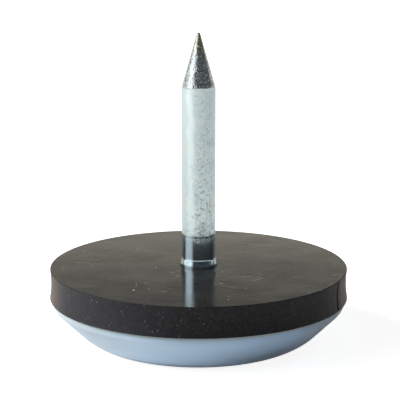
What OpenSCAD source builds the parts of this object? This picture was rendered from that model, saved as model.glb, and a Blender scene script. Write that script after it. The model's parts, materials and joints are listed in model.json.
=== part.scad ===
// Furniture glide with a nail: a steel nail stands in a round rubber pad,
// and a dished PTFE slider under the pad runs on the floor.
// The sliding face lies on Z = 0, centred on the origin, and the nail points up along +Z.

/* [Nail] */
// Diameter of the straight shank
shank_d = 2.85; // [2:0.05:4]
// Length that stands above the pad, point included
nail_out = 19.6; // [14:0.1:30]
// Length of the conical point
point_len = 4.45; // [3:0.05:7]
// Width of the blunt tip
tip_d = 0.26; // [0.1:0.02:0.5]
// Radius that blends the point into the shank
shoulder_r = 0.6; // [0.5:0.1:5]
// How far the foot of the nail flares out beyond the shank
foot_flare = 0.09; // [0.05:0.01:0.3]
// Height above the pad at which the slope of the foot would meet the shank
foot_h = 0.54; // [0.4:0.02:1.2]
// Radius that blends the foot into the shank
foot_blend_r = 0.2; // [0.2:0.1:3]
// How deep the foot sits in the top of the pad
foot_sink = 0.25; // [0.1:0.05:1]
// Diameter of the flat head inside the glide
head_d = 8; // [6:0.1:12]
// Thickness of the flat head
head_t = 1; // [0.6:0.1:1.6]
// Radius round the rim of the head
head_edge_r = 0.2; // [0.05:0.05:0.25]

/* [Rubber pad] */
// Diameter across the top edge of the pad
pad_d = 25; // [20:0.5:40]
// Thickness of the pad
pad_t = 2.5; // [1.5:0.1:5]
// How far the bottom edge stands out beyond the top edge
pad_spread = 0.05; // [0:0.01:0.15]
// How far the side pulls in between its edges
pad_waist = 0.1; // [0.02:0.01:0.2]
// Radius of the top edge
pad_edge_r = 0.1; // [0.04:0.01:0.15]
// Depth of the cutter's mark down the side
mark_depth = 0.1; // [0.05:0.01:0.3]
// Width of the cutter's mark at the surface
mark_w = 0.3; // [0.08:0.01:0.4]
// Angle of the cutter's mark round the pad, from +X
mark_angle = -25; // [-180:0.5:180]

/* [Glide face] */
// Thickness of the PTFE slider
glide_t = 3.9; // [3:0.1:7]
// How far its rim stands in from the bottom edge of the pad
rim_inset = 0.22; // [0.05:0.01:1]
// Height of the upright rim, down to where the slope would meet it
rim_h = 0.6; // [0.4:0.05:1]
// Radius that blends the rim into the slope
rim_blend_r = 0.8; // [0.3:0.05:1]
// Slope of the underside, from level
slope_angle = 45; // [35:1:55]
// Radius that blends the slope into the flat sliding face
corner_r = 4.5; // [1:0.1:5]

/* [Fits] */
// Gap round the shank in the hole of the pad
shank_play = 0.02; // [0.01:0.01:0.1]
// Gap round the foot in its recess in the top of the pad
foot_play = 0.05; // [0.02:0.01:0.5]
// Gap round the head in its pocket
head_play = 0.1; // [0.05:0.05:0.5]

/* [Hidden] */

$fn = 96;
arc_steps = 8;
overcut = 0.5;

shank_r = shank_d / 2;
tip_r = tip_d / 2;
foot_r = shank_r + foot_flare;
head_r = head_d / 2;
pad_r = pad_d / 2;
pad_base_r = pad_r + pad_spread;
rim_r = pad_base_r - rim_inset;

head_z = glide_t - head_t;
pad_top = glide_t + pad_t;
foot_z = pad_top - foot_sink;
tip_z = pad_top + nail_out;
shoulder_z = tip_z - point_len;
rim_z = glide_t - rim_h;
face_r = rim_r - rim_z / tan(slope_angle);

// Direction from one point to the next, as a unit vector
function toward(from, to) = (to - from) / norm(to - from);

// Turn between two unit vectors, positive to the left
function turn(u, v) = atan2(u.x * v.y - u.y * v.x, u * v);

// Arc of radius r tangent to both sides of the corner b, between the points a and c
function corner_arc(a, b, c, r) =
    let (
        u = toward(a, b),
        v = toward(b, c),
        bend = turn(u, v),
        side = sign(bend),
        start = b - u * r * tan(abs(bend) / 2),
        centre = start + side * r * [-u.y, u.x],
        spoke = start - centre
    )
    [for (i = [0:arc_steps])
        let (t = bend * i / arc_steps)
        centre + [spoke.x * cos(t) - spoke.y * sin(t), spoke.x * sin(t) + spoke.y * cos(t)]];

// Outline through corners [x, y, radius], where a radius of 0 leaves the corner sharp
function rounded(corners) =
    let (n = len(corners), at = [for (c = corners) [c.x, c.y]])
    [for (i = [0:n - 1]) each
        corners[i].z > 0
            ? corner_arc(at[(i + n - 1) % n], at[i], at[(i + 1) % n], corners[i].z)
            : [at[i]]];

// Points between p and q on an arc that bows by sag to the left of the way from p to q
function bowed(p, q, sag) =
    let (
        half = norm(q - p) / 2,
        r = (half * half + sag * sag) / (2 * sag),
        u = toward(p, q),
        left = [-u.y, u.x],
        centre = (p + q) / 2 - left * (r - sag),
        reach = asin(half / r)
    )
    [for (i = [1:arc_steps - 1])
        let (t = reach * (2 * i / arc_steps - 1), at = centre + r * (left * cos(t) + u * sin(t)))
        [at.x, at.y, 0]];

module turned(corners) {
    rotate_extrude() polygon(rounded(corners));
}

module nail() {
    color([0.76, 0.79, 0.81])
    turned([
        [0, head_z, 0],
        [head_r, head_z, head_edge_r],
        [head_r, glide_t, head_edge_r],
        [shank_r, glide_t, 0],
        [shank_r, foot_z, 0],
        [foot_r, foot_z, 0],
        [foot_r, pad_top, 0],
        [shank_r, pad_top + foot_h, foot_blend_r],
        [shank_r, shoulder_z, shoulder_r],
        [tip_r, tip_z, tip_r],
        [0, tip_z, 0],
    ]);
}

module rubber_pad() {
    base_edge = [pad_base_r, glide_t];
    top_edge = [pad_r, pad_top];
    color([0.2, 0.2, 0.19])
    difference() {
        turned(concat(
            [[0, glide_t, 0], [base_edge.x, base_edge.y, 0]],
            bowed(base_edge, top_edge, pad_waist),
            [[top_edge.x, top_edge.y, pad_edge_r], [0, pad_top, 0]]
        ));
        translate([0, 0, glide_t - overcut])
            cylinder(r = shank_r + shank_play, h = pad_t + 2 * overcut);
        translate([0, 0, foot_z])
            cylinder(r = foot_r + foot_play, h = foot_sink + overcut);
        cutter_mark();
    }
}

// V groove down the side of the pad
module cutter_mark() {
    reach = overcut / mark_depth;
    rotate([0, 0, mark_angle])
    translate([pad_r - mark_depth, 0, glide_t - overcut])
    linear_extrude(pad_t + 2 * overcut)
    polygon([
        [0, 0],
        [mark_depth * reach, -mark_w / 2 * reach],
        [mark_depth * reach, mark_w / 2 * reach],
    ]);
}

module glide_face() {
    color([0.68, 0.77, 0.84])
    difference() {
        turned([
            [0, 0, 0],
            [face_r, 0, corner_r],
            [rim_r, rim_z, rim_blend_r],
            [rim_r, glide_t, 0],
            [0, glide_t, 0],
        ]);
        translate([0, 0, head_z])
            cylinder(r = head_r + head_play, h = head_t + overcut);
    }
}

nail();
rubber_pad();
glide_face();
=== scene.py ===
"""A nail-on furniture glide: a zinc plated nail in a black rubber pad on a pale blue PTFE slider.

Run as a script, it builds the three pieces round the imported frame, with their finishes, a plain
studio and a camera. Sizes are in metres, and the Z axis runs up the middle of the nail.
"""

import json
import math

import bpy
import numpy as np
from mathutils import Matrix, Vector, noise


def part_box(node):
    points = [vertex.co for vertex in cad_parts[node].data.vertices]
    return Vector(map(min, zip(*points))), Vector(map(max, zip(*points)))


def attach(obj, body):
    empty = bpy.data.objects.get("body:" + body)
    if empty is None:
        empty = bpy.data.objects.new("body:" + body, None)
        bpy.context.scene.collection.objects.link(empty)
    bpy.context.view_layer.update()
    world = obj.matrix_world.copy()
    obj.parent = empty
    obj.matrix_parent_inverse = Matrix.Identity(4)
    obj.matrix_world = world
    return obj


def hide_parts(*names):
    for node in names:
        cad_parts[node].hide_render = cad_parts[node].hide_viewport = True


bl_info = {
    "name": "Furniture glide",
    "version": (1, 0, 0),
    "blender": (4, 5, 0),
    "location": "View3D > Sidebar > Glide",
    "description": "Builds a nail-on furniture glide with its finishes and a small studio",
    "category": "Object",
}

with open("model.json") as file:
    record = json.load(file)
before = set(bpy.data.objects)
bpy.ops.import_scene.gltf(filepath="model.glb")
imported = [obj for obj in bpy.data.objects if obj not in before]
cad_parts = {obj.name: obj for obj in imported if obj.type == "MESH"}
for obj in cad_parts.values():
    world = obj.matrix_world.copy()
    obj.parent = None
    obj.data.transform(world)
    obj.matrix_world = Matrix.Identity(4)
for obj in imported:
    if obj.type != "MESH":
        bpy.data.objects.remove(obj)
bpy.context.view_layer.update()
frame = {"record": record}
nail_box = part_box("nail")
pad_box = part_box("rubber_pad")
face_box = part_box("glide_face")

MM = 0.001

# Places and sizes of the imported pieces
HEAD_Z = nail_box[0].z
TIP_Z = nail_box[1].z
PAD_BASE_Z = pad_box[0].z
PAD_TOP_Z = pad_box[1].z
FACE_Z = face_box[0].z
mounts = {mount["name"]: mount for mount in frame["record"]["mounts"]}
SHANK_R = mounts["nail_shank"]["dims"]["r_mm"] * MM
HEAD_R = nail_box[1].x

# How fine the meshes are
NAIL_SIDES = 200
DISC_SIDES = 360
PAD_SPACING = 0.3 * MM
FACE_SPACING = 0.12 * MM
SHARP_EDGE = math.radians(40)

FLOOR_GAP = 0.01 * MM


# ---------------------------------------------------------------------------------------------
# Sizes and colours
# ---------------------------------------------------------------------------------------------


def length(name, description, metres):
    """A length that a user may change."""
    return bpy.props.FloatProperty(
        name=name, description=description, default=metres, min=0.0, precision=5, unit="LENGTH"
    )


def angle(name, description, degrees):
    """An angle that a user may change."""
    return bpy.props.FloatProperty(
        name=name, description=description, default=math.radians(degrees), subtype="ANGLE"
    )


def amount(name, description, default):
    """A strength, share or level that a user may change."""
    return bpy.props.FloatProperty(
        name=name, description=description, default=default, min=0.0, max=1.0
    )


def count(name, description, default):
    """A whole number that a user may change."""
    return bpy.props.IntProperty(name=name, description=description, default=default, min=0)


def colour(name, description, red, green, blue, most=1.0):
    """A colour, or a coloured light, that a user may change."""
    return bpy.props.FloatVectorProperty(
        name=name,
        description=description,
        default=(red, green, blue, 1.0),
        size=4,
        min=0.0,
        max=most,
        subtype="COLOR",
    )


class NailSettings(bpy.types.PropertyGroup):
    """Sizes, strengths and colours of the nail"""

    shank_r: length("Shank radius", "Radius of the straight shank", SHANK_R)
    point_length: length("Point length", "Length of the conical point", 4.45 * MM)
    tip_r: length("Tip radius", "Radius of the blunt tip", 0.13 * MM)
    shoulder_blend: length("Shoulder blend", "Radius between the point and the shank", 0.6 * MM)
    foot_r: length("Foot radius", "Radius of the foot that sits in the pad", SHANK_R + 0.09 * MM)
    foot_wall: length("Foot wall", "Height of the upright part of the foot", 0.25 * MM)
    foot_height: length("Foot height", "Height at which the foot meets the shank", 0.74 * MM)
    foot_blend: length("Foot blend", "Radius between the foot and the shank", 1.4 * MM)
    foot_sink: length("Foot depth", "How deep the foot sits in the pad", 0.25 * MM)
    head_r: length("Head radius", "Radius of the hidden flat head", HEAD_R)
    head_edge: length("Head edge", "Radius round the rim of the head", 0.2 * MM)
    band: length("Smooth band", "Height of the unworn band above the pad", 2.7 * MM)
    waviness: length("Waviness", "Depth of the slow waves in the shank", 0.0015 * MM)
    dents: count("Dents", "Number of small dents on the shank", 40)
    dent_depth: length("Dent depth", "Depth of the deepest dents", 0.012 * MM)
    crumb_height: length("Crumb height", "Height of the crumbs of loose plating", 0.03 * MM)
    mottle_depth: length("Mottle depth", "Depth of the plating's mottling", 0.012 * MM)
    ground_depth: length("Ground depth", "Roughness left by grinding the point", 0.095 * MM)
    scratch_depth: length("Scratch depth", "Depth of the pits and scratches", 0.004 * MM)
    warmth: amount("Warmth", "How strongly the greyish patches show", 0.6)
    graininess: amount("Graininess", "How strongly the fine grain shows", 0.35)
    scratchiness: amount("Scratchiness", "How strongly the pits and scratches show", 0.5)
    zinc: colour("Zinc", "Colour of the plating", 0.50, 0.59, 0.615)
    # Painted highlight: the pale strip down the left of the shank
    zinc_highlight: colour("Zinc, pale", "Pale strip down one side", 0.60, 0.70, 0.71)
    zinc_dull: colour("Zinc, dull", "Dull patches in the plating", 0.39, 0.47, 0.49)
    zinc_warm: colour("Zinc, warm", "Greyish patches in the plating", 0.58, 0.58, 0.56)
    zinc_bright: colour("Zinc, bright", "Smooth plating of the unworn band", 0.60, 0.75, 0.84)
    crumb: colour("Crumbs", "Crumbs of loose plating at the top of the band", 0.62, 0.70, 0.72)
    pit: colour("Pits", "Colour down in the pits and scratches", 0.18, 0.22, 0.23)
    point: colour("Point", "Colour of the rough point", 0.48, 0.52, 0.53)
    tip: colour("Tip", "Tarnish towards the tip", 0.48, 0.47, 0.40)


class PadSettings(bpy.types.PropertyGroup):
    """Sizes, strengths and colours of the rubber pad"""

    base_r: length("Base radius", "Radius at the bottom edge", pad_box[1].x)
    spread: length("Spread", "How far the bottom edge stands out beyond the top", 0.05 * MM)
    waist: length("Waist", "How far the side pulls in between its edges", 0.1 * MM)
    edge: length("Top edge", "Radius of the top edge", 0.05 * MM)
    hole_r: length("Hole radius", "Radius of the hole for the shank", SHANK_R + 0.02 * MM)
    recess_r: length("Recess radius", "Radius of the recess round the foot", SHANK_R + 0.14 * MM)
    mark_angle: angle("Mark angle", "Where the cutter's mark is, from +X", -25)
    mark_depth: length("Mark depth", "Depth of the cutter's mark", 0.1 * MM)
    mark_width: length("Mark width", "Width of the cutter's mark", 0.3 * MM)
    waviness: length("Waviness", "Depth of the slow waves in the top", 0.006 * MM)
    streak_depth: length("Streak depth", "Depth of the streaks round the nail", 0.005 * MM)
    grain_depth: length("Grain depth", "Depth of the fine grain", 0.003 * MM)
    dust_height: length("Dust height", "Height of the dust and scuffs", 0.01 * MM)
    dustiness: amount("Dustiness", "How strongly the dust and scuffs show", 0.7)
    rubber: colour("Rubber", "Colour of the top", 0.016, 0.015, 0.013)
    rubber_side: colour("Rubber, side", "Colour of the cut side", 0.005, 0.005, 0.006)
    rubber_grey: colour("Rubber, grey", "Fine mottling in the cut side", 0.015, 0.015, 0.020)
    # Painted light: the cut side paler towards the left, where the side light falls
    rubber_lit_left: colour("Rubber, bloom", "Pale bloom towards the left", 0.040, 0.040, 0.048)
    # Partly wear and partly painted sheen, at the side's far left and right
    rubber_brown_sheen: colour("Rubber, brown", "Worn patches of the side", 0.10, 0.072, 0.058)
    # Painted shade: black down in the cutter's groove
    mark: colour("Mark", "Colour down in the cutter's mark", 0.0, 0.0, 0.0)
    dust: colour("Dust", "Colour of the dust and fine scuffs", 0.42, 0.40, 0.37)


class FaceSettings(bpy.types.PropertyGroup):
    """Sizes, strengths and colours of the slider"""

    rim_r: length("Rim radius", "Radius of the upright rim", face_box[1].x)
    rim_height: length("Rim height", "Height of the upright rim", 0.6 * MM)
    rim_blend: length("Rim blend", "Radius between the rim and the slope", 0.8 * MM)
    slope: angle("Slope", "Slope of the underside, from level", 45)
    corner: length("Corner", "Radius between the slope and the flat face", 4.5 * MM)
    pocket_r: length("Pocket radius", "Radius of the pocket for the head", HEAD_R + 0.1 * MM)
    ring_depth: length("Ring depth", "Depth of the faint turned rings", 0.008 * MM)
    turning_depth: length("Turning depth", "Depth of the finer turning marks", 0.010 * MM)
    grain_depth: length("Grain depth", "Depth of the fine grain", 0.002 * MM)
    speckiness: amount("Speckiness", "How strongly the specks show", 0.3)
    ptfe: colour("PTFE", "Colour of the slider", 0.41, 0.55, 0.70)
    ptfe_pale: colour("PTFE, pale", "Paler cloudy patches", 0.45, 0.58, 0.71)
    # Painted shade: deeper blue towards the shaded right
    ptfe_deep_shade: colour("PTFE, deep", "Deeper blue towards the right", 0.33, 0.51, 0.76)
    # Painted sheen: greyer at the ends, where the slope is seen at a grazing angle
    ptfe_grey_sheen: colour("PTFE, grey", "Greyer tone at the left and right ends", 0.37, 0.46, 0.55)
    # Painted shade: dark by the sliding face, where the slider meets the floor
    ptfe_painted_shade: colour("PTFE, worn", "Soiled edge next to the sliding face", 0.06, 0.07, 0.08)
    # Painted shade: greyer just under the pad's overhang
    ptfe_shade_under_pad: colour("PTFE, rim", "Colour of the thin edge under the pad", 0.35, 0.42, 0.45)
    speck: colour("Specks", "Colour of the scattered specks", 0.25, 0.27, 0.28)


class StudioSettings(bpy.types.PropertyGroup):
    """Places and strengths of the camera, the floor and the lights"""

    camera_distance: length("Camera distance", "From the middle of the pad's top", 125 * MM)
    camera_elevation: angle("Camera elevation", "Above the pad's top", 14.95)
    camera_pitch: angle("Camera pitch", "How far the camera looks down", 12.43)
    camera_aside: length("Camera aside", "How far the camera stands to the right", 0.12 * MM)
    camera_lens: bpy.props.FloatProperty(
        name="Lens", description="Focal length in millimetres", default=133.0, unit="CAMERA"
    )
    floor: colour("Floor", "Colour of the floor", 0.74, 0.74, 0.74)
    floor_glow: amount("Floor glow", "Light added to the floor as the camera sees it", 0.88)
    floor_echo: amount("Floor echo", "Share of that light which shows in reflections", 0.3)
    ground: colour("Ground", "What the camera sees round the floor", 1.0, 1.0, 1.0)
    side_angle: angle("Side light angle", "To the left of the camera", 71)
    side_width: angle("Side light width", "From its middle to its edge", 20)
    side_bottom: angle("Side light bottom", "Elevation of its bottom edge", 4)
    side_top: angle("Side light top", "Elevation of its top edge", 44)
    side_edge: angle("Side light edge", "How far its upright edges fade to each side", 19)
    side_light: colour("Side light", "Radiance of the soft light at the left", 2.7, 2.75, 2.75, 10.0)
    key_angle: angle("Key light angle", "To the left of the camera", 88)
    key_elevation: angle("Key light elevation", "Above the floor", 36)
    key_distance: length("Key light distance", "From the nail", 0.70)
    key_size: length("Key light size", "Width and height of the panel", 0.31)
    key_light: colour("Key light", "Radiance of the panel", 24.5, 23.9, 22.6, 100.0)
    dim: colour("Dim side", "Radiance of the room low down and overhead", 0.034, 0.038, 0.042)
    backdrop: colour("Backdrop", "Radiance of the low backdrop behind", 1.66, 1.59, 1.32, 10.0)
    walls: colour("Walls", "Radiance of the room half way up", 0.19, 0.198, 0.205)


# ---------------------------------------------------------------------------------------------
# Outlines and turned shapes
# ---------------------------------------------------------------------------------------------


def rounded(corners, steps=8):
    """An outline through (radius, height, blend) corners, with an arc where the blend isn't 0."""
    outline = []
    for place, (x, z, blend) in enumerate(corners):
        here = Vector((x, z))
        if blend == 0:
            outline.append(here)
            continue
        before = (Vector(corners[place - 1][:2]) - here).normalized()
        after = (Vector(corners[(place + 1) % len(corners)][:2]) - here).normalized()
        half = before.angle(after) / 2
        centre = here + (before + after).normalized() * blend / math.sin(half)
        start = here + before * blend / math.tan(half) - centre
        end = here + after * blend / math.tan(half) - centre
        sweep = start.angle_signed(end)
        for step in range(steps + 1):
            spoke = start.copy()
            spoke.rotate(Matrix.Rotation(-sweep * step / steps, 2))
            outline.append(centre + spoke)
    return outline


def bowed(start, end, sag, steps=8):
    """Points between start and end on a shallow arch that bows by sag to the left of the way."""
    start, end = Vector(start), Vector(end)
    way = (end - start).normalized()
    left = Vector((-way.y, way.x))
    points = []
    for step in range(1, steps):
        share = step / steps
        points.append(start.lerp(end, share) + left * sag * 4 * share * (1 - share))
    return points


def refined(outline, spacing, ring=False):
    """The same outline with points added so that no step is longer than spacing(point)."""
    ends = outline[1:] + (outline[:1] if ring else [])
    points = []
    for start, end in zip(outline, ends):
        pieces = max(1, math.ceil((end - start).length / spacing((start + end) / 2) - 1e-6))
        points += [start.lerp(end, piece / pieces) for piece in range(pieces)]
    return points if ring else points + outline[-1:]


def turned(name, outline, angles, relief, ring=False):
    """A closed mesh object: the outline turned about Z, then raised by the relief.

    The outline runs counter-clockwise in (radius, height), from axis to axis, or round a loop
    where ring is True. relief(around, radius, height, facing) says how far each point stands
    out along the outline's normal, and facing is that normal's radial part.
    """
    path = np.array([tuple(point) for point in outline])
    along = np.roll(path, -1, axis=0) - np.roll(path, 1, axis=0)
    if not ring:
        along[0] = path[1] - path[0]
        along[-1] = path[-1] - path[-2]
    along /= np.linalg.norm(along, axis=1, keepdims=True)
    facing, lift = along[:, 1:], -along[:, :1]
    around = np.broadcast_to(angles, (len(path), len(angles)))
    radius = np.broadcast_to(path[:, :1], around.shape)
    height = np.broadcast_to(path[:, 1:], around.shape)
    out = relief(around, radius, height, np.broadcast_to(facing, around.shape))
    radius = radius + out * facing
    height = height + out * lift
    points = np.stack([radius * np.cos(around), radius * np.sin(around), height], axis=2)

    # An outline that ends on the axis has one point there, and not a ring of them
    index = np.arange(around.size).reshape(around.shape)
    if not ring:
        index[0] = index[0, 0]
        index[-1] = index[-1, 0]
    used = np.unique(index)
    index = np.searchsorted(used, index)
    upper = np.roll(index, -1, axis=0) if ring else index[1:]

    # A face next to the axis names that point twice, and loses one of the two
    faces = []
    for below, above in zip(index, upper):
        corners = zip(below, np.roll(below, -1), np.roll(above, -1), above)
        faces += [list(dict.fromkeys(int(corner) for corner in face)) for face in corners]

    mesh = bpy.data.meshes.new(name)
    mesh.from_pydata(points.reshape(-1, 3)[used].tolist(), [], faces)
    mesh.shade_smooth()
    mesh.set_sharp_from_angle(angle=SHARP_EDGE)
    return new_object(name, mesh)


def new_object(name, data):
    """A new object in the scene."""
    made = bpy.data.objects.new(name, data)
    bpy.context.scene.collection.objects.link(made)
    return made


def even_angles(number):
    """Angles spaced evenly round a circle."""
    return np.arange(number) * math.tau / number


def waves(around, radius, height, size, seed):
    """Smooth noise over a turned surface, from about -1 to 1, with waves of about that size."""
    flat = np.empty(around.size)
    places = zip(
        (radius * np.cos(around)).ravel() / size,
        (radius * np.sin(around)).ravel() / size,
        height.ravel() / size + seed,
    )
    for place, point in enumerate(places):
        flat[place] = noise.noise(point)
    return flat.reshape(around.shape)


def dents(around, radius, height, draws):
    """Round dents on a turned surface, each drawn as (angle, height, size, depth)."""
    depth = np.zeros(around.shape)
    for at_angle, at_height, size, deep in draws:
        across = radius * ((around - at_angle + math.pi) % math.tau - math.pi)
        depth += deep * np.exp(-(across**2 + (height - at_height) ** 2) / size**2)
    return depth


# ---------------------------------------------------------------------------------------------
# Node trees
# ---------------------------------------------------------------------------------------------


class Tree:
    """Adds nodes to a node tree, from left to right, and links what feeds them."""

    def __init__(self, owner):
        """Start with the tree of a node group, or with the emptied tree of a material or world."""
        if not isinstance(owner, bpy.types.NodeTree):
            owner.use_nodes = True
            owner = owner.node_tree
            owner.nodes.clear()
        self.nodes = owner.nodes
        self.links = owner.links

    def node(self, kind, feeds=None, **settings):
        """Add a node. Feeds gives its inputs a value or another node's output."""
        made = self.nodes.new(kind)
        made.location = (len(self.nodes) * 200, 0)
        for setting, value in settings.items():
            setattr(made, setting, value)
        for socket, value in (feeds or {}).items():
            self.feed(made, socket, value)
        return made

    def feed(self, node, socket, value):
        """Give one input of a node a value or another node's output."""
        if isinstance(value, bpy.types.NodeSocket):
            self.links.new(value, node.inputs[socket])
        else:
            node.inputs[socket].default_value = value

    def math(self, operation, *values):
        """One Math node."""
        feeds = dict(enumerate(values))
        return self.node("ShaderNodeMath", feeds, operation=operation).outputs[0]

    def times(self, product, *others):
        """Several values multiplied together."""
        for other in others:
            product = self.math("MULTIPLY", product, other)
        return product

    def plus(self, total, *others):
        """Several values added together."""
        for other in others:
            total = self.math("ADD", total, other)
        return total

    def most(self, largest, *others):
        """The largest of several values."""
        for other in others:
            largest = self.math("MAXIMUM", largest, other)
        return largest

    def vector_math(self, operation, *vectors):
        """One Vector Math node."""
        made = self.node("ShaderNodeVectorMath", dict(enumerate(vectors)), operation=operation)
        return made.outputs["Value" if operation in {"LENGTH", "DOT_PRODUCT"} else "Vector"]

    def stretched(self, vector, x, y, z):
        """A vector with each part multiplied by its own number."""
        return self.vector_math("MULTIPLY", vector, (x, y, z))

    def leaning(self, vector, degrees):
        """A vector turned about the Y axis."""
        feeds = {"Vector": vector, "Angle": math.radians(degrees)}
        return self.node("ShaderNodeVectorRotate", feeds, rotation_type="Y_AXIS").outputs[0]

    def parts(self, vector):
        """The X, Y and Z of a vector."""
        return self.node("ShaderNodeSeparateXYZ", {0: vector}).outputs

    def ramp(self, value, start, end, low=0.0, high=1.0):
        """A smooth step from low to high as the value goes from start to end."""
        feeds = {"Value": value, 1: start, 2: end, 3: low, 4: high}
        made = self.node("ShaderNodeMapRange", feeds, interpolation_type="SMOOTHSTEP")
        return made.outputs[0]

    def spread(self, mask, low, high):
        """A number that is low where a mask is 0 and high where it is 1."""
        return self.ramp(mask, 0.0, 1.0, low, high)

    def mix(self, factor, first, second):
        """The first colour, and the second where the factor is 1."""
        feeds = {0: factor, 6: first, 7: second}
        return self.node("ShaderNodeMix", feeds, data_type="RGBA").outputs[2]

    def noise(self, position, scale, detail=2.0, roughness=0.5):
        """Smooth noise from 0 to 1, with about scale waves a unit."""
        feeds = {"Vector": position, "Scale": scale, "Detail": detail, "Roughness": roughness}
        return self.node("ShaderNodeTexNoise", feeds).outputs[0]

    def effect(self, name, position, **values):
        """Place one of the effects below and return its only output."""
        made = self.node("ShaderNodeGroup", node_tree=bpy.data.node_groups[name])
        self.feed(made, "Position", position)
        for socket, value in values.items():
            self.feed(made, socket.title(), value)
        return made.outputs[0]

    def bumped(self, *layers):
        """A normal from layers of (height, depth in metres), each bumping the one before."""
        normal = None
        for height, depth in layers:
            feeds = {"Height": height, "Distance": depth, "Strength": 1.0}
            if normal is not None:
                feeds["Normal"] = normal
            normal = self.node("ShaderNodeBump", feeds).outputs[0]
        return normal


def new_effect(name, output, **values):
    """A new node group with a position and some numbers going in, and one value coming out."""
    group = bpy.data.node_groups.new(name, "ShaderNodeTree")
    group.interface.new_socket("Position", in_out="INPUT", socket_type="NodeSocketVector")
    for socket, value in values.items():
        made = group.interface.new_socket(
            socket.title(), in_out="INPUT", socket_type="NodeSocketFloat"
        )
        made.default_value = value
    group.interface.new_socket(output, in_out="OUTPUT", socket_type="NodeSocketFloat")
    tree = Tree(group)
    return tree, tree.node("NodeGroupInput").outputs


def finish_effect(tree, value):
    """Lead a value out of its node group."""
    tree.node("NodeGroupOutput", {0: value})


def make_effects():
    """Build the node groups that the finishes place, once."""
    if "Clouds" in bpy.data.node_groups:
        return
    make_clouds()
    make_specks()
    make_hairlines()
    make_strokes()


def make_clouds():
    """Soft patches: a smooth mask from 0 to 1, with Scale patches a millimetre."""
    tree, given = new_effect("Clouds", "Mask", scale=1.0, detail=2.0, low=0.4, high=0.6)
    cloud = tree.noise(given["Position"], given["Scale"], given["Detail"])
    finish_effect(tree, tree.ramp(cloud, given["Low"], given["High"]))


def make_specks():
    """Scattered round specks: Size is in cells, and Share is how many cells hold one."""
    tree, given = new_effect("Specks", "Mask", scale=1.0, size=0.2, share=0.5)
    feeds = {"Vector": given["Position"], "Scale": given["Scale"]}
    cells = tree.node("ShaderNodeTexVoronoi", feeds)
    chance = tree.node("ShaderNodeSeparateColor", {0: cells.outputs["Color"]})
    size = tree.times(given["Size"], chance.outputs["Green"])
    disc = tree.ramp(cells.outputs["Distance"], size, tree.times(size, 0.5))
    kept = tree.math("LESS_THAN", chance.outputs["Red"], given["Share"])
    finish_effect(tree, tree.times(disc, kept))


def make_hairlines():
    """Short thin curved lines: Width is their width, and Share is how much of each shows."""
    tree, given = new_effect("Hairlines", "Mask", scale=1.0, width=0.01, share=0.5)
    field = tree.noise(given["Position"], given["Scale"], 1.0)
    away = tree.math("ABSOLUTE", tree.math("SUBTRACT", field, 0.5))
    line = tree.ramp(away, given["Width"], 0.0)
    elsewhere = tree.vector_math("ADD", given["Position"], (7.3, 2.9, 5.1))
    gate = tree.noise(elsewhere, given["Scale"], 0.0)
    shown = tree.math("GREATER_THAN", gate, tree.spread(given["Share"], 0.85, 0.25))
    finish_effect(tree, tree.times(line, shown))


def make_strokes():
    """Short straight strokes along Z: Stretch is their width over their length."""
    tree, given = new_effect("Strokes", "Mask", scale=1.0, stretch=0.2, share=0.5)
    longer = tree.node("ShaderNodeCombineXYZ", {0: 1.0, 1: 1.0, 2: given["Stretch"]})
    drawn = tree.vector_math("MULTIPLY", given["Position"], longer.outputs[0])
    field = tree.noise(drawn, given["Scale"], 0.0)
    inside = tree.math("SUBTRACT", field, tree.spread(given["Share"], 0.80, 0.60))
    finish_effect(tree, tree.ramp(inside, 0.0, 0.06))


def new_finish(name):
    """A new material: its tree, its Principled BSDF and the place on the object in millimetres."""
    material = bpy.data.materials.new(name)
    tree = Tree(material)
    place = tree.node("ShaderNodeTexCoord").outputs["Object"]
    place = tree.stretched(place, 1 / MM, 1 / MM, 1 / MM)
    shader = tree.node("ShaderNodeBsdfPrincipled")
    tree.node("ShaderNodeOutputMaterial", {"Surface": shader.outputs[0]})
    return material, tree, shader, place


def set_shader(tree, shader, **sockets):
    """Link nodes to the shader, or set its uniform numbers."""
    for socket, value in sockets.items():
        tree.feed(shader, socket.replace("_", " "), value)


# ---------------------------------------------------------------------------------------------
# Finishes. Places and scales in them are in millimetres.
# ---------------------------------------------------------------------------------------------


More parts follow.
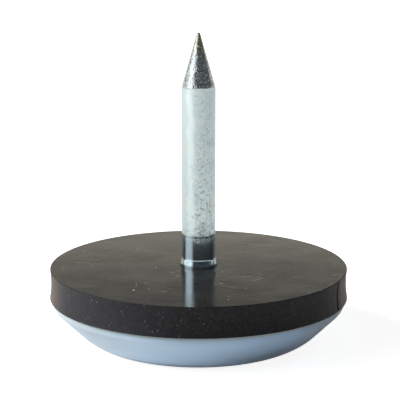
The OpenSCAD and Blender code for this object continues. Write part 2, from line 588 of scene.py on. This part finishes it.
def zinc_finish(settings):
    """Bright zinc plating: smooth at the foot, mottled and scratched above, rough on the point, with
    a painted highlight down the left.
    """
    material, tree, shader, place = new_finish("zinc_plating")
    right, _, height = tree.parts(place)
    band = (PAD_TOP_Z + settings.band) / MM
    shoulder = (TIP_Z - settings.point_length) / MM
    tip = TIP_Z / MM
    above = tree.ramp(height, band - 0.1, band + 0.1)
    point = tree.ramp(height, shoulder - 0.1, shoulder + 0.1)
    # Wear, with its dull patches, pits and grain, fades to 0.3 at the left so the painted highlight
    # strip stays bright
    wear_clear_of_highlight = tree.times(
        tree.ramp(height, shoulder, band + 2.0, 0.45, 1.0),
        above,
        tree.ramp(right, -0.8, 0.1, 0.3, 1.0),
    )

    dull = tree.plus(
        tree.effect("Clouds", place, scale=1.4, detail=3.0, low=0.44, high=0.66),
        tree.effect("Clouds", place, scale=4.0, detail=3.0, low=0.42, high=0.66),
    )
    dull = tree.times(dull, 0.5, wear_clear_of_highlight)
    warm = tree.effect("Clouds", tree.stretched(place, 1, 1, 0.6), scale=0.8, low=0.5, high=0.66)
    grain = tree.effect("Clouds", place, scale=7.0, detail=3.0, low=0.48, high=0.68)
    marks = tree.times(zinc_marks(tree, place), wear_clear_of_highlight)
    crumbs = zinc_crumbs(tree, place, band)
    skin = tree.mix(tree.times(warm, settings.warmth), settings.zinc, settings.zinc_warm)
    skin = tree.mix(dull, skin, settings.zinc_dull)
    # Painted highlight: a pale strip down the left, standing in for the side light's reflection
    skin = tree.mix(painted_highlight_strip(tree, place), skin, settings.zinc_highlight)
    skin = tree.mix(tree.times(grain, wear_clear_of_highlight, settings.graininess), skin, settings.pit)
    skin = tree.mix(tree.times(marks, settings.scratchiness), skin, settings.pit)
    skin = tree.mix(above, settings.zinc_bright, skin)
    skin = tree.mix(point, skin, settings.point)
    skin = tree.mix(tree.ramp(height, tip - 2.5, tip - 0.5), skin, settings.tip)
    skin = tree.mix(crumbs, skin, settings.crumb)

    frost = tree.effect("Clouds", place, scale=2.4, detail=3.0, low=0.3, high=0.75)
    frost = tree.times(frost, tree.most(wear_clear_of_highlight, point))
    roughness = tree.plus(
        tree.spread(frost, 0.13, 0.20), tree.times(dull, 0.08), tree.times(point, 0.04)
    )
    mottle = tree.times(tree.noise(place, 2.2), wear_clear_of_highlight)
    ground = tree.times(tree.noise(place, 3.6, 4.0), point)
    set_shader(
        tree,
        shader,
        Base_Color=skin,
        Metallic=tree.spread(crumbs, 1.0, 0.2),
        Roughness=roughness,
        Normal=tree.bumped(
            (mottle, settings.mottle_depth),
            (ground, settings.ground_depth),
            (crumbs, settings.crumb_height),
            (tree.math("SUBTRACT", 1.0, marks), settings.scratch_depth),
        ),
    )
    return material


def zinc_marks(tree, place):
    """Pits, and short scratches that lean both ways."""
    return tree.most(
        tree.effect("Specks", place, scale=2.0, size=0.35, share=0.35),
        tree.effect("Strokes", tree.leaning(place, 50), scale=7.0, stretch=0.3, share=0.45),
        tree.effect("Strokes", tree.leaning(place, -60), scale=6.0, stretch=0.3, share=0.4),
    )


def painted_highlight_strip(tree, place):
    """A painted highlight: a pale strip down the left of the shank, with edges that wander."""
    drift = tree.noise(tree.stretched(place, 1, 1, 0.5), 0.9)
    right = tree.plus(tree.parts(place)["X"], tree.math("SUBTRACT", drift, 0.5))
    return tree.times(tree.ramp(right, -1.05, -0.75), tree.ramp(right, -0.2, -0.55, 0.0, 0.9))


def zinc_crumbs(tree, place, band):
    """Crumbs of loose plating at the front, in a fringe just under the top of the band."""
    right, back, height = tree.parts(place)
    fringe = tree.times(
        tree.ramp(height, band, band - 0.05),
        tree.ramp(height, band - 0.7, band),
        tree.ramp(right, -0.8, -0.2),
        tree.ramp(back, 0.0, -1.0),
    )
    crumbs = tree.effect("Clouds", place, scale=4.5, detail=2.0, low=0.54, high=0.58)
    return tree.times(crumbs, tree.ramp(fringe, 0.0, 0.3))


def rubber_finish(settings):
    """Black rubber: a glossy skin with round streaks, a dull cut side, dust and hair scratches."""
    material, tree, shader, place = new_finish("black_rubber")
    up = tree.parts(tree.node("ShaderNodeNewGeometry").outputs["Normal"])["Z"]
    top = tree.ramp(up, 0.75, 0.97)
    dust = rubber_dust(tree, place, top)
    skin = tree.mix(top, rubber_side(tree, place, settings), settings.rubber)
    skin = tree.mix(tree.times(dust, settings.dustiness), skin, settings.dust)

    cloud = tree.effect("Clouds", place, scale=0.35, detail=3.0, low=0.3, high=0.7)
    gloss = tree.plus(tree.spread(cloud, 0.11, 0.15), tree.times(dust, 0.3))
    grain = tree.times(tree.noise(place, 7.0, 3.0), tree.spread(top, 4.0, 1.0))
    set_shader(
        tree,
        shader,
        Base_Color=skin,
        Metallic=0.0,
        Roughness=tree.plus(gloss, tree.spread(top, 0.4, 0.0)),
        Specular_IOR_Level=0.2,
        Normal=tree.bumped(
            (rubber_streaks(tree, place), settings.streak_depth),
            (grain, settings.grain_depth),
            (dust, settings.dust_height),
        ),
    )
    return material


def rubber_streaks(tree, place):
    """Streaks that run round the nail, a little in and out."""
    flat = tree.stretched(place, 1, 1, 0)
    spoke = tree.stretched(tree.vector_math("NORMALIZE", flat), 3, 3, 3)
    away = tree.plus(tree.vector_math("LENGTH", flat), tree.times(tree.noise(place, 0.25), 4.0))
    sweep = tree.node("ShaderNodeCombineXYZ", {2: tree.times(away, 1.6)}).outputs[0]
    return tree.noise(tree.vector_math("ADD", spoke, sweep), 1.0, 4.0, 0.6)


def rubber_dust(tree, place, top):
    """Dust, fine scuffs and hair scratches on the top, and dots down the side."""
    scuffed = tree.effect("Clouds", place, scale=0.3, detail=2.0, low=0.5, high=0.65)
    coarse = tree.effect("Specks", place, scale=0.55, size=0.11, share=0.35)
    fine = tree.effect("Specks", place, scale=2.2, size=0.25, share=0.45)
    fine = tree.times(fine, tree.spread(scuffed, 0.10, 0.40))
    hairs = tree.effect("Hairlines", place, scale=0.45, width=0.004, share=0.35)
    dust = tree.times(tree.most(coarse, fine, tree.times(hairs, 0.4)), tree.spread(top, 0.8, 1.0))
    dots = tree.effect("Specks", place, scale=2.5, size=0.22, share=0.7)
    right = tree.parts(place)["X"]
    dots = tree.times(dots, tree.spread(top, 0.3, 0.0), tree.ramp(right, 8.0, -6.0, 0.3, 1.0))
    return tree.most(dust, dots)


def rubber_side(tree, place, settings):
    """The cut side: mottled, with painted light paler towards the left, two pale brown patches that
    are partly wear and partly painted sheen, and the dark mark painted as shade in the cutter's
    groove.
    """
    right, back, _ = tree.parts(place)
    past_mark = tree.math("SUBTRACT", tree.math("ARCTAN2", back, right), settings.mark_angle)
    past_mark = tree.times(past_mark, settings.base_r / MM)
    grit = tree.effect("Clouds", place, scale=4.0, detail=3.0, low=0.4, high=0.7)
    # Partly wear and partly painted sheen: paler brown past the mark and at the far left edge, where
    # the side is seen at a grazing angle
    right_patch_sheen = tree.times(
        tree.ramp(past_mark, 0.25, 1.3, 0.0, 0.88), tree.ramp(past_mark, 10.0, 6.5)
    )
    left_edge_sheen = tree.ramp(right, -10.8, -12.6, 0.0, 0.9)
    worn = tree.times(tree.most(right_patch_sheen, left_edge_sheen), tree.spread(grit, 1.0, 0.6))
    # Painted shade: black down in the cutter's groove, where shade falls
    mark = tree.times(tree.ramp(past_mark, -0.3, -0.15), tree.ramp(past_mark, 0.45, 0.3))
    side = tree.mix(grit, settings.rubber_side, settings.rubber_grey)
    # Painted light: the side grows paler towards the left, where the side light falls
    side = tree.mix(tree.ramp(right, 2.0, -12.0, 0.0, 0.42), side, settings.rubber_lit_left)
    side = tree.mix(worn, side, settings.rubber_brown_sheen)
    return tree.mix(mark, side, settings.mark)


def ptfe_finish(settings):
    """Pale blue PTFE: waxy and faintly cloudy, with turned rings and a greyer edge at the pad
    painted as shade.
    """
    material, tree, shader, place = new_finish("pale_blue_ptfe")
    right, _, height = tree.parts(place)
    cloud = tree.effect("Clouds", place, scale=0.22, detail=3.0, low=0.35, high=0.7)
    specks = tree.effect("Specks", place, scale=0.8, size=0.12, share=0.2)
    # Painted sheen: greyer towards the left and right ends, where the slope is seen at a grazing
    # angle
    ends = tree.most(tree.ramp(right, -4.0, -9.0), tree.ramp(right, 7.5, 10.0, 0.0, 0.9))
    skin = tree.mix(cloud, settings.ptfe, settings.ptfe_pale)
    # Painted shade: deeper blue towards the right, the shaded side
    skin = tree.mix(tree.ramp(right, -7.0, 7.0, 0.0, 0.6), skin, settings.ptfe_deep_shade)
    skin = tree.mix(ends, skin, settings.ptfe_grey_sheen)
    # Painted shade: greyer just under the pad's overhang
    skin = tree.mix(ptfe_shade_under_pad(tree, right, height), skin, settings.ptfe_shade_under_pad)
    # Painted shade: darker towards the sliding face, higher on the shaded right
    skin = tree.mix(ptfe_contact_shade(tree, right, height), skin, settings.ptfe_painted_shade)
    skin = tree.mix(tree.times(specks, settings.speckiness), skin, settings.speck)

    away = tree.vector_math("LENGTH", place)
    rings = tree.node("ShaderNodeTexNoise", {"W": away, "Scale": 4.0}, noise_dimensions="1D")
    set_shader(
        tree,
        shader,
        Base_Color=skin,
        Metallic=0.0,
        Roughness=tree.spread(cloud, 0.44, 0.38),
        Specular_IOR_Level=0.3,
        Subsurface_Weight=0.15,
        Subsurface_Radius=(1.0, 1.1, 1.2),
        Subsurface_Scale=0.8 * MM,
        Normal=tree.bumped(
            (rings.outputs[0], settings.turning_depth),
            (tree.noise(place, 3.0, 3.0), settings.grain_depth),
        ),
    )
    return material


def ptfe_shade_under_pad(tree, right, height):
    """Painted shade on the thin edge under the pad, which reaches lower at the left."""
    edge = PAD_BASE_Z / MM
    everywhere = tree.ramp(height, edge - 0.30, edge - 0.15)
    left = tree.times(tree.ramp(height, edge - 0.9, edge - 0.2), tree.ramp(right, -5.0, -9.5))
    return tree.most(everywhere, left)


def ptfe_contact_shade(tree, right, height):
    """Painted shade: darker by the sliding face, where the slider meets the floor, reaching higher
    at the right.
    """
    everywhere = tree.ramp(height, 1.1, 0.2, 0.0, 0.6)
    on_right = tree.times(tree.ramp(height, 2.4, 0.2), tree.ramp(right, 0.5, 7.0, 0.0, 0.85))
    return tree.most(everywhere, on_right)


# ---------------------------------------------------------------------------------------------
# Pieces
# ---------------------------------------------------------------------------------------------


def nail_outline(sizes):
    """The nail from the bottom of its head to its tip."""
    shoulder_z = TIP_Z - sizes.point_length
    foot_z = PAD_TOP_Z - sizes.foot_sink
    return rounded(
        [
            (0, HEAD_Z, 0),
            (sizes.head_r, HEAD_Z, sizes.head_edge),
            (sizes.head_r, PAD_BASE_Z, sizes.head_edge),
            (sizes.shank_r, PAD_BASE_Z, 0),
            (sizes.shank_r, foot_z, 0),
            (sizes.foot_r, foot_z, 0),
            (sizes.foot_r, PAD_TOP_Z + sizes.foot_wall, 0),
            (sizes.shank_r, PAD_TOP_Z + sizes.foot_height, sizes.foot_blend),
            (sizes.shank_r, shoulder_z, sizes.shoulder_blend),
            (sizes.tip_r, TIP_Z, sizes.tip_r),
            (0, TIP_Z, 0),
        ]
    )


def nail_relief(sizes):
    """Waves and dents in the shank, and the roll mark by the point."""
    shoulder_z = TIP_Z - sizes.point_length
    band_z = PAD_TOP_Z + sizes.band
    fade = 0.3 * MM
    rng = np.random.default_rng(seed=11)
    widest = 0.25 * MM
    hollows = []
    for _ in range(sizes.dents):
        at_height = band_z + fade + rng.random() ** 1.5 * (shoulder_z - band_z)
        size = rng.uniform(0.4, 1.0) * widest
        deep = sizes.dent_depth * rng.uniform(0.2, 1.0) * size / widest
        hollows.append((rng.uniform(0, math.tau), at_height, size, deep))

    roll_z = shoulder_z - 0.5 * MM
    roll_width, roll_depth = 0.06 * MM, 0.003 * MM
    roll_angle = -1.9

    def relief(around, radius, height, facing):
        above = np.clip((height - band_z) / fade, 0, 1)
        above *= np.clip((TIP_Z - height) / (2 * MM), 0, 1)
        slow = sizes.waviness * waves(around, radius, height, size=0.9 * MM, seed=8.0)
        roll = roll_depth * np.exp(-(((height - roll_z) / roll_width) ** 2))
        roll *= np.clip(np.cos(around - roll_angle), 0, 1)
        return above * (slow - roll - dents(around, radius, height, hollows))

    return relief


def nail_spacing(sizes, height):
    """How far apart the rings of the nail's mesh may lie at a height."""
    hidden, in_band, worn = 0.4 * MM, 0.03 * MM, 0.07 * MM
    just_over = 0.2 * MM
    if height < PAD_TOP_Z:
        return hidden
    if height < PAD_TOP_Z + sizes.band + just_over:
        return in_band
    return worn


def pad_outline(sizes):
    """The pad's section, from the bottom of its hole round its side to its recess.

    A point on each side of the top edge, two blends away, keeps the blend clear of the bow.
    """
    top_r = sizes.base_r - sizes.spread
    lean = 0.01 * MM  # how far the bow still stands in there
    recess_z = PAD_TOP_Z - bpy.context.scene.glide_nail.foot_sink
    side = bowed((sizes.base_r, PAD_BASE_Z), (top_r, PAD_TOP_Z), sizes.waist)
    return rounded(
        [
            (sizes.hole_r, PAD_BASE_Z, 0),
            (sizes.base_r, PAD_BASE_Z, 0),
            *[(point.x, point.y, 0) for point in side],
            (top_r - lean, PAD_TOP_Z - 2 * sizes.edge, 0),
            (top_r, PAD_TOP_Z, sizes.edge),
            (top_r - 2 * sizes.edge, PAD_TOP_Z, 0),
            (sizes.recess_r, PAD_TOP_Z, 0),
            (sizes.recess_r, recess_z, 0),
            (sizes.hole_r, recess_z, 0),
        ]
    )


def pad_relief(sizes):
    """Slow waves in the top and the cutter's mark down the side."""
    just_under = PAD_TOP_Z - 0.01 * MM

    def relief(around, radius, height, facing):
        top = height > just_under
        inside = np.clip((radius - sizes.recess_r) / MM, 0, 1)
        inside *= np.clip((sizes.base_r - radius) / MM, 0, 1)
        slow = waves(around, radius, height, size=3.5 * MM, seed=1.0)
        across = sizes.base_r * (around - sizes.mark_angle % math.tau)
        groove = np.clip(1 - np.abs(across) / (sizes.mark_width / 2), 0, 1)
        groove *= np.clip(facing, 0, 1) * (radius > sizes.base_r / 2)
        return top * inside * sizes.waviness * slow - sizes.mark_depth * groove

    return relief


def pad_angles(sizes):
    """Angles round the pad, closer together across the cutter's mark."""
    reach = sizes.mark_width / sizes.base_r
    columns = 17
    close = sizes.mark_angle % math.tau + np.linspace(-reach, reach, columns)
    wide = even_angles(DISC_SIDES)
    wide = wide[(wide < close[0]) | (wide > close[-1])]
    return np.sort(np.concatenate([wide, close]))


def face_outline(sizes):
    """The slider from the middle of its sliding face to the middle of its pocket."""
    rim_z = PAD_BASE_Z - sizes.rim_height
    flat_r = sizes.rim_r - (rim_z - FACE_Z) / math.tan(sizes.slope)
    return rounded(
        [
            (0, FACE_Z, 0),
            (flat_r, FACE_Z, sizes.corner),
            (sizes.rim_r, rim_z, sizes.rim_blend),
            (sizes.rim_r, PAD_BASE_Z, 0),
            (sizes.pocket_r, PAD_BASE_Z, 0),
            (sizes.pocket_r, HEAD_Z, 0),
            (0, HEAD_Z, 0),
        ],
        steps=16,
    )


def face_relief(sizes):
    """Turned rings, only ever cut into the slider, in a fine beat and a slow one."""
    fine, slow = 0.11 * MM, 0.47 * MM
    middle = 0.3 * MM
    top_z = PAD_BASE_Z - 0.05 * MM

    def relief(around, radius, height, facing):
        rings = np.sin(radius / fine) * np.sin(radius / slow + 1) - 1
        return (height < top_z) * (radius > middle) * sizes.ring_depth * rings / 2

    return relief


def set_piece(made, material, node):
    """Give a piece its finish, and let it ride with the body in place of its CAD node."""
    made.data.materials.append(material)
    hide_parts(node)
    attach(made, "root")


class MakeNail(bpy.types.Operator):
    """Make the zinc plated nail"""

    bl_idname = "glide.make_nail"
    bl_label = "Make nail"

    def execute(self, context):
        sizes = context.scene.glide_nail
        outline = refined(nail_outline(sizes), lambda at: nail_spacing(sizes, at.y))
        made = turned("zinc_nail", outline, even_angles(NAIL_SIDES), nail_relief(sizes))
        set_piece(made, zinc_finish(sizes), "nail")
        return {"FINISHED"}


class MakeRubberPad(bpy.types.Operator):
    """Make the black rubber pad"""

    bl_idname = "glide.make_rubber_pad"
    bl_label = "Make rubber pad"

    def execute(self, context):
        sizes = context.scene.glide_pad
        outline = refined(pad_outline(sizes), lambda at: PAD_SPACING, ring=True)
        made = turned("soft_pad", outline, pad_angles(sizes), pad_relief(sizes), ring=True)
        set_piece(made, rubber_finish(sizes), "rubber_pad")
        return {"FINISHED"}


class MakeGlideFace(bpy.types.Operator):
    """Make the pale blue slider"""

    bl_idname = "glide.make_glide_face"
    bl_label = "Make glide face"

    def execute(self, context):
        sizes = context.scene.glide_face
        outline = refined(face_outline(sizes), lambda at: FACE_SPACING)
        made = turned("slider", outline, even_angles(DISC_SIDES), face_relief(sizes))
        set_piece(made, ptfe_finish(sizes), "glide_face")
        return {"FINISHED"}


# ---------------------------------------------------------------------------------------------
# Studio
# ---------------------------------------------------------------------------------------------


def floor_finish(settings):
    """A white floor that keeps soft shadows and glows for the camera, less so in reflections."""
    material = bpy.data.materials.new("studio_floor")
    tree = Tree(material)
    path = tree.node("ShaderNodeLightPath").outputs
    camera = path["Is Camera Ray"]
    seen = tree.plus(camera, path["Is Glossy Ray"], path["Is Transmission Ray"])
    seen = tree.math("MINIMUM", seen, 1.0)
    matt = tree.node("ShaderNodeBsdfDiffuse", {"Color": settings.floor})
    level = tree.times(seen, tree.spread(camera, settings.floor_echo, 1.0), settings.floor_glow)
    glow = tree.node("ShaderNodeEmission", {"Strength": level})
    both = tree.node("ShaderNodeAddShader", {0: matt.outputs[0], 1: glow.outputs[0]})
    tree.node("ShaderNodeOutputMaterial", {"Surface": both.outputs[0]})
    return material


def make_floor(settings):
    """A round floor, a metre in radius, just under the sliding face."""
    mesh = bpy.data.meshes.new("studio_floor")
    rim = [(math.cos(at), math.sin(at), 0) for at in even_angles(64)]
    mesh.from_pydata(rim, [], [list(range(len(rim)))])
    mesh.materials.append(floor_finish(settings))
    floor = new_object("studio_floor", mesh)
    floor.location.z = FACE_Z - FLOOR_GAP


def toward(turn, elevation):
    """A direction from the nail, turned from the camera to the left and raised."""
    out = math.cos(elevation)
    return Vector((-out * math.sin(turn), -out * math.cos(turn), math.sin(elevation)))


def make_key_light(settings):
    """A soft square panel high on the left, facing the glide, that no reflection shows."""
    panel = bpy.data.lights.new("key_light", "AREA")
    panel.size = settings.key_size
    panel.energy = math.pi * settings.key_size**2
    panel.color = settings.key_light[:3]
    away = toward(settings.key_angle, settings.key_elevation)
    lamp = new_object("key_light", panel)
    lamp.location = away * settings.key_distance
    lamp.rotation_euler = away.to_track_quat("Z", "Y").to_euler()
    lamp.visible_camera = False
    lamp.visible_glossy = False


def side_light_mask(tree, direction, settings):
    """1 inside the soft light at the left, and 0 outside it."""
    level = tree.vector_math("NORMALIZE", tree.stretched(direction, 1, 1, 0))
    aside = tree.vector_math("DOT_PRODUCT", level, toward(settings.side_angle, 0))
    up = tree.parts(direction)["Z"]
    width, edge, fade = settings.side_width, settings.side_edge, math.radians(8)
    bottom, top = settings.side_bottom, settings.side_top
    return tree.times(
        tree.ramp(aside, math.cos(width + edge), math.cos(width - edge)),
        tree.ramp(up, math.sin(bottom - fade), math.sin(bottom + fade)),
        tree.ramp(up, math.sin(top + fade), math.sin(top - fade)),
    )


def make_room(settings):
    """White for the camera, and for light a backdrop, a soft side light and a dim room.

    back and up are the parts of the direction away from the camera and overhead, from -1 to 1.
    """
    world = bpy.data.worlds.new("studio_room")
    bpy.context.scene.world = world
    tree = Tree(world)
    camera = tree.node("ShaderNodeLightPath").outputs["Is Camera Ray"]
    direction = tree.node("ShaderNodeTexCoord").outputs["Generated"]
    _, back, up = tree.parts(direction)
    backdrop = tree.times(tree.ramp(back, 0.2, 0.95), tree.ramp(up, 0.30, 0.15))
    light = tree.mix(tree.ramp(up, 0.15, 0.4), settings.dim, settings.walls)
    light = tree.mix(tree.ramp(up, 0.45, 0.7), light, settings.dim)
    light = tree.mix(backdrop, light, settings.backdrop)
    light = tree.mix(side_light_mask(tree, direction, settings), light, settings.side_light)
    light = tree.mix(camera, light, settings.ground)
    glow = tree.node("ShaderNodeBackground", {"Color": light, "Strength": 1.0})
    tree.node("ShaderNodeOutputWorld", {"Surface": glow.outputs[0]})


def make_camera(settings):
    """A long lens in front of the glide, looking slightly down."""
    lens = bpy.data.cameras.new("camera")
    lens.lens = settings.camera_lens
    lens.clip_start = MM
    camera = new_object("camera", lens)
    camera.location = (
        settings.camera_aside,
        -settings.camera_distance * math.cos(settings.camera_elevation),
        PAD_TOP_Z + settings.camera_distance * math.sin(settings.camera_elevation),
    )
    camera.rotation_euler.x = math.pi / 2 - settings.camera_pitch
    bpy.context.scene.camera = camera


class MakeStudio(bpy.types.Operator):
    """Make the floor, the lights, the room and the camera"""

    bl_idname = "glide.make_studio"
    bl_label = "Make studio"

    def execute(self, context):
        settings = context.scene.glide_studio
        make_floor(settings)
        make_key_light(settings)
        make_room(settings)
        make_camera(settings)
        context.scene.view_settings.view_transform = "Standard"
        return {"FINISHED"}


# ---------------------------------------------------------------------------------------------
# Add-on
# ---------------------------------------------------------------------------------------------


class GlidePanel(bpy.types.Panel):
    """Buttons for the pieces and the studio"""

    bl_idname = "VIEW3D_PT_glide"
    bl_label = "Furniture glide"
    bl_space_type = "VIEW_3D"
    bl_region_type = "UI"
    bl_category = "Glide"

    def draw(self, context):
        for operator in OPERATORS:
            self.layout.operator(operator.bl_idname)


OPERATORS = (MakeNail, MakeRubberPad, MakeGlideFace, MakeStudio)
SETTINGS = {
    "glide_nail": NailSettings,
    "glide_pad": PadSettings,
    "glide_face": FaceSettings,
    "glide_studio": StudioSettings,
}


def register():
    """Register the settings, the operators and the panel."""
    for name, group in SETTINGS.items():
        bpy.utils.register_class(group)
        setattr(bpy.types.Scene, name, bpy.props.PointerProperty(type=group))
    for operator in OPERATORS:
        bpy.utils.register_class(operator)
    bpy.utils.register_class(GlidePanel)


def unregister():
    """Take away what register added."""
    bpy.utils.unregister_class(GlidePanel)
    for operator in reversed(OPERATORS):
        bpy.utils.unregister_class(operator)
    for name, group in reversed(SETTINGS.items()):
        delattr(bpy.types.Scene, name)
        bpy.utils.unregister_class(group)


def main():
    """Build the glide and its studio."""
    register()
    make_effects()
    bpy.ops.glide.make_nail()
    bpy.ops.glide.make_rubber_pad()
    bpy.ops.glide.make_glide_face()
    bpy.ops.glide.make_studio()


if __name__ == "__main__":
    main()
